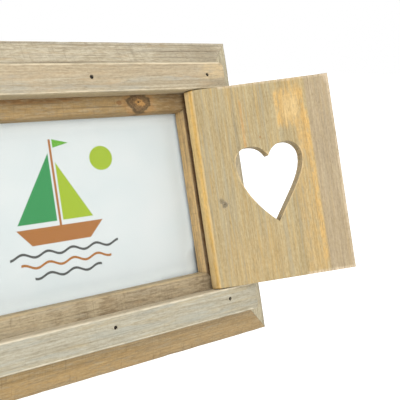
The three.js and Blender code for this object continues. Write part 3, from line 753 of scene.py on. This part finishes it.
def card_material():
    """White card with paper grain, painted light near the edges of the opening where the lip shades it, and
    the print.
    """
    shader = Shader("printed_card")
    board = shader.attribute("board", "Vector")
    x, z, _ = shader.split(board)
    grain = shader.noise(board, 0.45, 0.4, 3.0)
    clouds = shader.noise(board, 38, 30, 2.0)
    tone = shader.blend((grain, 0.35), (clouds, 0.65))
    colour = shader.ramp(tone, [(0.35, CARD_SHADE), (0.65, CARD_WHITE)])
    # Painted light along the top, bottom and right of the opening and in its lower right corner, against the
    # lip's shade
    near_top = shader.fade(z, SIGHT_HALF_HEIGHT - TOP_MARGIN, SIGHT_HALF_HEIGHT)
    near_bottom = shader.fade(z, LOWER_MARGIN - SIGHT_HALF_HEIGHT, -SIGHT_HALF_HEIGHT)
    near_side = shader.fade(x, SIGHT_HALF_WIDTH - SIDE_MARGIN, SIGHT_HALF_WIDTH)
    near_corner = shader.product(
        shader.fade(x, SIGHT_HALF_WIDTH - CORNER_WIDTH, SIGHT_HALF_WIDTH),
        shader.fade(z, CORNER_HEIGHT - SIGHT_HALF_HEIGHT, -SIGHT_HALF_HEIGHT),
    )
    bright = shader.blend(
        (near_top, TOP_SHARE), (near_bottom, LOWER_SHARE),
        (near_side, SIDE_SHARE), (near_corner, CORNER_SHARE),
    )
    colour = shader.mix(bright, colour, CARD_PAINTED_LIGHT)
    ink = shader.scale(grain, 0.9, 1.0)
    for shape_colour, corners in printed_shapes:
        colour = shader.mix(shader.product(inside_shape(shader, x, z, corners), ink), colour, shape_colour)
    off = shader.vector("SUBTRACT", board, (*PRINTED_SUN, 0))
    flat = shader.vector("MULTIPLY", off, (1, 1, 0))
    far = shader.node("ShaderNodeVectorMath", {0: flat}, operation="LENGTH").outputs["Value"]
    sun = shader.fade(far, SUN_RADIUS + INK_EDGE, SUN_RADIUS - INK_EDGE)
    colour = shader.mix(shader.product(sun, ink), colour, LIME_INK)
    swell = shader.math("SINE", shader.math("MULTIPLY", x, math.tau / WAVE_LENGTH))
    for level, half, wave_colour in printed_waves:
        crest = shader.math("MULTIPLY_ADD", swell, WAVE_RISE, level)
        away = shader.math("ABSOLUTE", shader.math("SUBTRACT", z, crest))
        line = shader.fade(away, WAVE_HALF_WIDTH + WAVE_EDGE, WAVE_HALF_WIDTH - WAVE_EDGE)
        cover = shader.product(line, shader.span(x, -half, half, INK_EDGE), ink)
        colour = shader.mix(cover, colour, wave_colour)
    return shader.finish({
        "Base Color": colour,
        "Roughness": shader.scale(grain, 0.7, 0.9),
        "Specular IOR Level": 0.2,
        "Normal": shader.bump(grain, PAPER_DEPTH),
    })


# Pieces

@dataclass
class Board:
    """Where a piece lies: its own origin, and the directions along, across and through its grain."""
    origin: Vector
    along: Vector
    across: Vector
    through: Vector
    shows_both_faces: bool = False

    def place(self, point):
        """A point's place in this board, in mm."""
        offset = (point - self.origin) / MM
        return Vector((offset.dot(self.along), offset.dot(self.across), offset.dot(self.through)))

    def facing(self, normal):
        """1 on a broad face that shows from the front, and 0 on edges."""
        forward = -normal.dot(self.through)
        return abs(forward) if self.shows_both_faces else max(0.0, forward)


@dataclass
class Wear:
    """How a copy of a node is eased, cut up and worn, in mm."""
    bevel: float = 0.0
    cut: float = 0.0
    wave: float = 0.0
    chip: float = 0.0
    ends_spared: float = 0.0
    mitre_closed: float = 0.0


def shutter_board(name, shut_direction):
    """A shutter's board starts at its pivot; it rests as far from shut as its swing can close."""
    swing = swings[name]
    open_angle = -math.radians(swing["range_deg"][0])
    leaf = Matrix.Rotation(open_angle, 3, Vector(swing["axis"])) @ shut_direction
    return Board(Vector(swing["pos_m"]), up, leaf, leaf.cross(up), shows_both_faces=True)


flat_board = Board(picture_middle, right, up, back)
upright_board = Board(picture_middle, up, right, back)
boards = {
    "base_right_member": upright_board,
    "base_left_member": upright_board,
    "strut": upright_board,
    "right_shutter": shutter_board("right_shutter", -right),
    "left_shutter": shutter_board("left_shutter", right),
}

# Tolerances of the mesh operations, in metres
WELD_DISTANCE = 1e-6
CUT_TOLERANCE = 1e-7
SHORTEST_EDGE = 1e-5

# What counts as flat, an arris, a mitre or an underside, and the size of waves and chips, in mm
FLAT_ANGLE = math.radians(1)
ARRIS_ANGLE = math.radians(17)
ALONG_GRAIN = 0.8
FAR_FROM_ARRIS = 10.0
BEVEL_ANGLE = math.radians(60)
SMOOTH_ANGLE = math.radians(40)
SHORTEST_ARRIS = 0.6
MITRE_SLOPE = 0.6
ARRIS_STEP = 0.5
LOWER_ARRIS_SPARED = 0.45
FACES_DOWN = -0.2
WAVE_SIZE = (40, 9, 9)
CHIP_SIZE = (9, 4, 4)
CHIP_SHIFT = Vector((7, 3, 5))
CHIP_REACH = 1.6


def sample_arrises(solid, board, wear):
    """Points along the arrises, in a tree that finds the nearest, and how far each is spared rubbing."""
    points = []
    for edge in solid.edges:
        start, end = (vert.co.copy() for vert in edge.verts)
        length = (end - start).length
        if edge.calc_face_angle(0.0) < ARRIS_ANGLE or length < SHORTEST_ARRIS * MM:
            continue
        across_grain = abs((end - start).dot(board.along)) < ALONG_GRAIN * length
        spared = wear.ends_spared if across_grain else 0.0
        steps = max(1, round(length / (ARRIS_STEP * MM)))
        points += [(start.lerp(end, step / steps), spared) for step in range(steps + 1)]
    tree = KDTree(len(points))
    for index, (point, _) in enumerate(points):
        tree.insert(point, index)
    tree.balance()
    return tree, [spared for _, spared in points]


def slice_mesh(solid, board, direction, spacing):
    """Cuts the mesh with parallel planes, so that its faces can bend."""
    reaches = [(vert.co - board.origin).dot(direction) / MM for vert in solid.verts]
    count = int((max(reaches) - min(reaches)) / spacing)
    for step in range(1, count + 1):
        level = board.origin + direction * (min(reaches) + step * spacing) * MM
        geometry = solid.verts[:] + solid.edges[:] + solid.faces[:]
        bmesh.ops.bisect_plane(solid, geom=geometry, dist=CUT_TOLERANCE, plane_co=level, plane_no=direction)


def close_mitres(solid, board, closed):
    """Slides the mitred ends along the grain to close their joints, and gives the edges round them."""
    rims = set()
    for face in solid.faces:
        lengthwise, sideways = face.normal.dot(board.along), face.normal.dot(board.across)
        if min(abs(lengthwise), abs(sideways)) > MITRE_SLOPE:
            rims.update(face.edges)
            for vert in face.verts:
                vert.co += board.along * math.copysign(closed * MM, lengthwise)
    return rims


def in_units(place, size):
    """A place in the board, measured in marks of that size."""
    return Vector([value / unit for value, unit in zip(place, size)])


def worn_mesh(name, board, wear):
    """A copy of a node's mesh with eased, uneven edges, which knows its place in its board."""
    solid = bmesh.new()
    solid.from_mesh(frame["nodes"][name].data)
    bmesh.ops.remove_doubles(solid, verts=solid.verts, dist=WELD_DISTANCE)
    bmesh.ops.dissolve_limit(solid, angle_limit=FLAT_ANGLE, verts=solid.verts, edges=solid.edges)
    arrises, spared = sample_arrises(solid, board, wear)
    rims = close_mitres(solid, board, wear.mitre_closed) if wear.mitre_closed else set()
    if wear.bevel:
        free = [edge for edge in solid.edges if edge not in rims]
        sharp = [edge for edge in free if edge.calc_face_angle(0.0) > BEVEL_ANGLE]
        bmesh.ops.bevel(
            solid, geom=sharp, offset=wear.bevel * MM, segments=2, profile=0.5, affect="EDGES",
            clamp_overlap=True,
        )
    bmesh.ops.triangulate(solid, faces=solid.faces)
    if wear.cut:
        slice_mesh(solid, board, board.along, wear.cut)
        slice_mesh(solid, board, board.across, wear.cut)
    bmesh.ops.remove_doubles(solid, verts=solid.verts, dist=SHORTEST_EDGE)
    solid.normal_update()

    places = [board.place(vert.co) for vert in solid.verts]
    facings = [board.facing(vert.normal) for vert in solid.verts]
    distances = []
    for vert, place in zip(solid.verts, places):
        _, index, nearest = arrises.find(vert.co)
        distance = FAR_FROM_ARRIS if nearest is None else nearest / MM + spared[index]
        wave = 0.5 + 0.5 * noise.noise(in_units(place, WAVE_SIZE))
        chip = max(0.0, noise.noise(in_units(place, CHIP_SIZE) + CHIP_SHIFT))
        closeness = max(0.0, 1 - distance / CHIP_REACH)
        faces_down = vert.normal.dot(up) < FACES_DOWN
        distances.append(distance + (LOWER_ARRIS_SPARED if faces_down else 0.0))
        vert.co -= vert.normal * (wear.wave * wave + wear.chip * chip * closeness) * MM

    mesh = bpy.data.meshes.new(f"{name}_worn")
    solid.to_mesh(mesh)
    solid.free()
    flat_places = [value for place in places for value in place]
    mesh.attributes.new("board", "FLOAT_VECTOR", "POINT").data.foreach_set("vector", flat_places)
    mesh.attributes.new("arris", "FLOAT", "POINT").data.foreach_set("value", distances)
    mesh.attributes.new("face", "FLOAT", "POINT").data.foreach_set("value", facings)
    mesh.shade_smooth()
    mesh.set_sharp_from_angle(angle=SMOOTH_ANGLE)
    return mesh


slots = {subpart["node"]: subpart["material_slot"] for subpart in frame["record"]["subparts"]}
wears = {
    "base_wood": Wear(bevel=0.35, cut=3.2, wave=0.05, chip=0.3, ends_spared=0.6, mitre_closed=0.14),
    "rail_wood": Wear(bevel=0.3, cut=3.2, wave=0.05, chip=0.3, ends_spared=0.3),
    "shutter_wood": Wear(bevel=0.06, cut=3.2, wave=0.04, chip=0.2, ends_spared=1.0),
    "fibreboard": Wear(bevel=0.25, cut=5.0, wave=0.05, chip=0.15),
    "card": Wear(cut=8.0, wave=0.08),
    "zinc_steel": Wear(bevel=0.12),
    "dark_steel": Wear(bevel=0.12),
}
shared_materials = {
    "fibreboard": fibreboard_material(),
    "card": card_material(),
    "zinc_steel": metal_material(
        "zinc_steel", bright=paint(214, 216, 218), dull=paint(168, 170, 174),
        stain=paint(188, 182, 168), stain_share=0.35, rough=0.34,
    ),
    "dark_steel": metal_material(
        "dark_steel", bright=paint(88, 82, 76), dull=paint(44, 40, 36),
        stain=paint(84, 54, 34), stain_share=0.6, rough=0.5,
    ),
}


def show_worn(name, slot):
    """Shows a worn copy in place of a CAD node, on the body and with the slot of that node."""
    mesh = worn_mesh(name, boards.get(name, flat_board), wears[slot])
    made = wood_material(f"{name}_wood", timbers[name]) if name in timbers else shared_materials[slot]
    mesh.materials.append(made)
    piece = bpy.data.objects.new(f"{name}_worn", mesh)
    bpy.context.scene.collection.objects.link(piece)
    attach(piece, frame["nodes"][name]["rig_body"])
    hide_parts(name)


for node_name, node_slot in slots.items():
    if node_slot in wears:
        show_worn(node_name, node_slot)

pane = frame["nodes"]["glass_pane"].data
pane.materials.clear()
pane.materials.append(clear_glass())

# Floor, light and camera

FLOOR_REACH = 4.0
FLOOR_GREY = grey(0.35)
floor_corners = [(x * FLOOR_REACH, y * FLOOR_REACH, 0) for x, y in ((-1, -1), (1, -1), (1, 1), (-1, 1))]
floor_mesh = bpy.data.meshes.new("floor")
floor_mesh.from_pydata(floor_corners, [], [(0, 1, 2, 3)])
floor = bpy.data.objects.new("floor", floor_mesh)
bpy.context.scene.collection.objects.link(floor)
floor_mesh.materials.append(Shader("floor_paper").finish({
    "Base Color": FLOOR_GREY,
    "Roughness": 0.9,
    "Specular IOR Level": 0.1,
    "Emission Color": WHITE,
    "Emission Strength": 1.0,
}))

scene = bpy.context.scene
scene.view_settings.view_transform = "Standard"
studio = bpy.data.worlds.new("studio")
studio.use_nodes = True
background = studio.node_tree.nodes["Background"]
background.inputs["Color"].default_value = WHITE
background.inputs["Strength"].default_value = 1.0
scene.world = studio

LIGHT_PLACE = Vector((-0.3, -1.0, 0.75))
LIGHT_SIZE = 0.9
LIGHT_POWER = 12.0
lamp_data = bpy.data.lights.new("key", "AREA")
lamp_data.size = LIGHT_SIZE
lamp_data.energy = LIGHT_POWER
lamp = bpy.data.objects.new("key", lamp_data)
lamp.location = LIGHT_PLACE
lamp.rotation_euler = (picture_middle - LIGHT_PLACE).to_track_quat("-Z", "Y").to_euler()
scene.collection.objects.link(lamp)

CAMERA_PLACE = Vector((-0.10023, -0.27366, 0.16277))
CAMERA_AIM = Vector((0.51838, 0.82307, -0.23204))
FOCAL_PIXELS = 605.3
IMAGE_PIXELS = 400
SENSOR_WIDTH = 36.0
camera_data = bpy.data.cameras.new("camera")
camera_data.sensor_width = SENSOR_WIDTH
camera_data.lens = FOCAL_PIXELS / IMAGE_PIXELS * SENSOR_WIDTH
camera = bpy.data.objects.new("camera", camera_data)
camera.location = CAMERA_PLACE
camera.rotation_euler = CAMERA_AIM.to_track_quat("-Z", "Y").to_euler()
scene.collection.objects.link(camera)
scene.camera = camera
